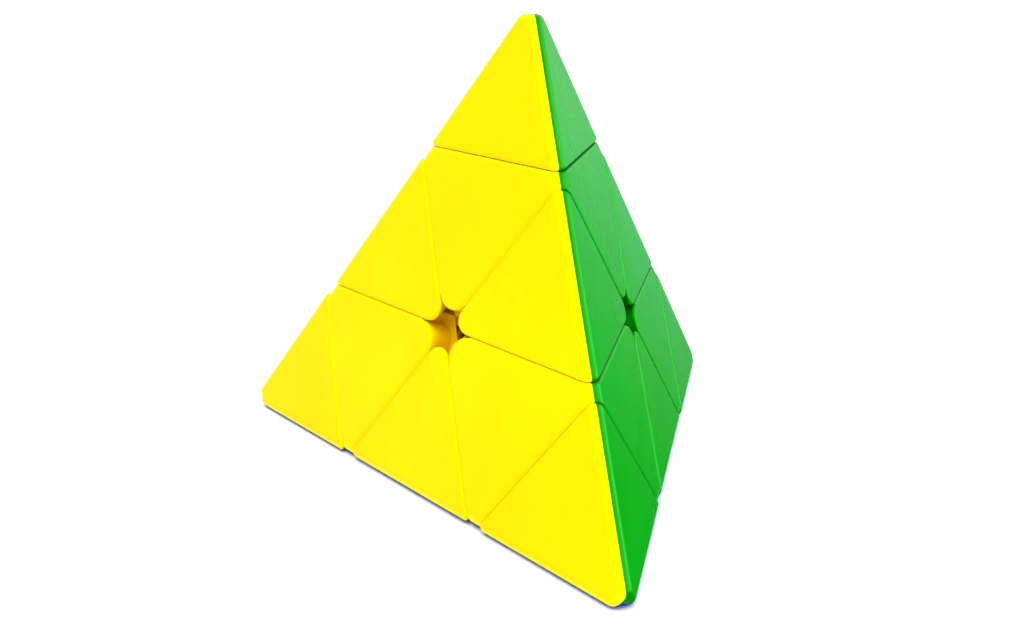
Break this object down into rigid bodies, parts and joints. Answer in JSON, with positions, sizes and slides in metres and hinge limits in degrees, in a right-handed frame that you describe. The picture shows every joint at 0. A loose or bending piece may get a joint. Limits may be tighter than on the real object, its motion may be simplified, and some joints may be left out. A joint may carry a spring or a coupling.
{
  "type": "pyramid twisty puzzle",
  "caption": "Tetrahedral twisty puzzle of solid-coloured plastic pieces: tips, axial pieces and edge pieces that turn about a hidden spring-loaded core.",
  "frame": {"origin": "centre of the core, where the four turning axes cross, 20.0 mm above the face it rests on", "axes": "+Z along the top corner's turning axis; -Y towards the middle of the yellow face; the base face lies level, facing -Z"},
  "size_m": [0.0918, 0.0804, 0.0756],
  "materials": {
    "yellow_plastic": "satin moulded ABS, bright yellow",
    "green_plastic": "satin moulded ABS, bright green",
    "red_plastic": "satin moulded ABS, bright red",
    "blue_plastic": "satin moulded ABS, bright blue",
    "mechanism_plastic": "matt moulded plastic, near black",
    "screw_steel": "zinc-plated steel",
    "spring_steel": "bright spring steel wire"
  },
  "bodies": {
    "core": {"core": "mechanism_plastic", "screws": "screw_steel", "washers": "screw_steel", "springs": "spring_steel"},
    "axial_top": {"axial_top_green_shell": "green_plastic", "axial_top_red_shell": "red_plastic", "axial_top_yellow_shell": "yellow_plastic", "axial_top_frame": "mechanism_plastic"},
    "axial_left": {"axial_left_blue_shell": "blue_plastic", "axial_left_red_shell": "red_plastic", "axial_left_yellow_shell": "yellow_plastic", "axial_left_frame": "mechanism_plastic"},
    "axial_right": {"axial_right_blue_shell": "blue_plastic", "axial_right_green_shell": "green_plastic", "axial_right_yellow_shell": "yellow_plastic", "axial_right_frame": "mechanism_plastic"},
    "axial_back": {"axial_back_blue_shell": "blue_plastic", "axial_back_green_shell": "green_plastic", "axial_back_red_shell": "red_plastic", "axial_back_frame": "mechanism_plastic"},
    "tip_top": {"tip_top_green_shell": "green_plastic", "tip_top_red_shell": "red_plastic", "tip_top_yellow_shell": "yellow_plastic", "tip_top_base": "mechanism_plastic"},
    "tip_left": {"tip_left_blue_shell": "blue_plastic", "tip_left_red_shell": "red_plastic", "tip_left_yellow_shell": "yellow_plastic", "tip_left_base": "mechanism_plastic"},
    "tip_right": {"tip_right_blue_shell": "blue_plastic", "tip_right_green_shell": "green_plastic", "tip_right_yellow_shell": "yellow_plastic", "tip_right_base": "mechanism_plastic"},
    "tip_back": {"tip_back_blue_shell": "blue_plastic", "tip_back_green_shell": "green_plastic", "tip_back_red_shell": "red_plastic", "tip_back_base": "mechanism_plastic"},
    "edge_top_left": {"edge_top_left_red_shell": "red_plastic", "edge_top_left_yellow_shell": "yellow_plastic", "edge_top_left_red_foot": "red_plastic", "edge_top_left_yellow_foot": "yellow_plastic"},
    "edge_top_right": {"edge_top_right_green_shell": "green_plastic", "edge_top_right_yellow_shell": "yellow_plastic", "edge_top_right_green_foot": "green_plastic", "edge_top_right_yellow_foot": "yellow_plastic"},
    "edge_top_back": {"edge_top_back_green_shell": "green_plastic", "edge_top_back_red_shell": "red_plastic", "edge_top_back_green_foot": "green_plastic", "edge_top_back_red_foot": "red_plastic"},
    "edge_left_right": {"edge_left_right_blue_shell": "blue_plastic", "edge_left_right_yellow_shell": "yellow_plastic", "edge_left_right_blue_foot": "blue_plastic", "edge_left_right_yellow_foot": "yellow_plastic"},
    "edge_right_back": {"edge_right_back_blue_shell": "blue_plastic", "edge_right_back_green_shell": "green_plastic", "edge_right_back_blue_foot": "blue_plastic", "edge_right_back_green_foot": "green_plastic"},
    "edge_left_back": {"edge_left_back_blue_shell": "blue_plastic", "edge_left_back_red_shell": "red_plastic", "edge_left_back_blue_foot": "blue_plastic", "edge_left_back_red_foot": "red_plastic"}
  },
  "joints": [
    {"name": "layer_top_turn", "type": "hinge", "parent": "core", "child": "axial_top", "pos_m": [0, 0, 0], "axis": [0, 0, 1], "range_deg": [-240, 120]},
    {"name": "layer_left_turn", "type": "hinge", "parent": "core", "child": "axial_left", "pos_m": [0, 0, 0], "axis": [-0.8165, -0.4714, -0.3333], "range_deg": [-240, 120]},
    {"name": "layer_right_turn", "type": "hinge", "parent": "core", "child": "axial_right", "pos_m": [0, 0, 0], "axis": [0.8165, -0.4714, -0.3333], "range_deg": [-240, 120]},
    {"name": "layer_back_turn", "type": "hinge", "parent": "core", "child": "axial_back", "pos_m": [0, 0, 0], "axis": [0, 0.9428, -0.3333], "range_deg": [-240, 120]},
    {"name": "tip_top_spin", "type": "hinge", "parent": "axial_top", "child": "tip_top", "pos_m": [0, 0, 0], "axis": [0, 0, 1], "continuous": true},
    {"name": "tip_left_spin", "type": "hinge", "parent": "axial_left", "child": "tip_left", "pos_m": [0, 0, 0], "axis": [-0.8165, -0.4714, -0.3333], "continuous": true},
    {"name": "tip_right_spin", "type": "hinge", "parent": "axial_right", "child": "tip_right", "pos_m": [0, 0, 0], "axis": [0.8165, -0.4714, -0.3333], "continuous": true},
    {"name": "tip_back_spin", "type": "hinge", "parent": "axial_back", "child": "tip_back", "pos_m": [0, 0, 0], "axis": [0, 0.9428, -0.3333], "continuous": true},
    {"name": "edge_top_left_turn", "type": "hinge", "parent": "axial_left", "child": "edge_top_left", "pos_m": [0, 0, 0], "axis": [0, 0, 1], "range_deg": [-240, 120]},
    {"name": "edge_top_right_turn", "type": "hinge", "parent": "axial_right", "child": "edge_top_right", "pos_m": [0, 0, 0], "axis": [0, 0, 1], "range_deg": [-240, 120]},
    {"name": "edge_top_back_turn", "type": "hinge", "parent": "axial_back", "child": "edge_top_back", "pos_m": [0, 0, 0], "axis": [0, 0, 1], "range_deg": [-240, 120]},
    {"name": "edge_left_right_turn", "type": "hinge", "parent": "axial_right", "child": "edge_left_right", "pos_m": [0, 0, 0], "axis": [-0.8165, -0.4714, -0.3333], "range_deg": [-240, 120]},
    {"name": "edge_left_back_turn", "type": "hinge", "parent": "axial_left", "child": "edge_left_back", "pos_m": [0, 0, 0], "axis": [0, 0.9428, -0.3333], "range_deg": [-240, 120]},
    {"name": "edge_right_back_turn", "type": "hinge", "parent": "axial_back", "child": "edge_right_back", "pos_m": [0, 0, 0], "axis": [0.8165, -0.4714, -0.3333], "range_deg": [-240, 120]}
  ],
  "couplings": [
    {"joint": "edge_top_left_turn", "follows": "layer_top_turn", "ratio": 1},
    {"joint": "edge_top_right_turn", "follows": "layer_top_turn", "ratio": 1},
    {"joint": "edge_top_back_turn", "follows": "layer_top_turn", "ratio": 1},
    {"joint": "edge_left_right_turn", "follows": "layer_left_turn", "ratio": 1},
    {"joint": "edge_left_back_turn", "follows": "layer_back_turn", "ratio": 1},
    {"joint": "edge_right_back_turn", "follows": "layer_right_turn", "ratio": 1}
  ]
}
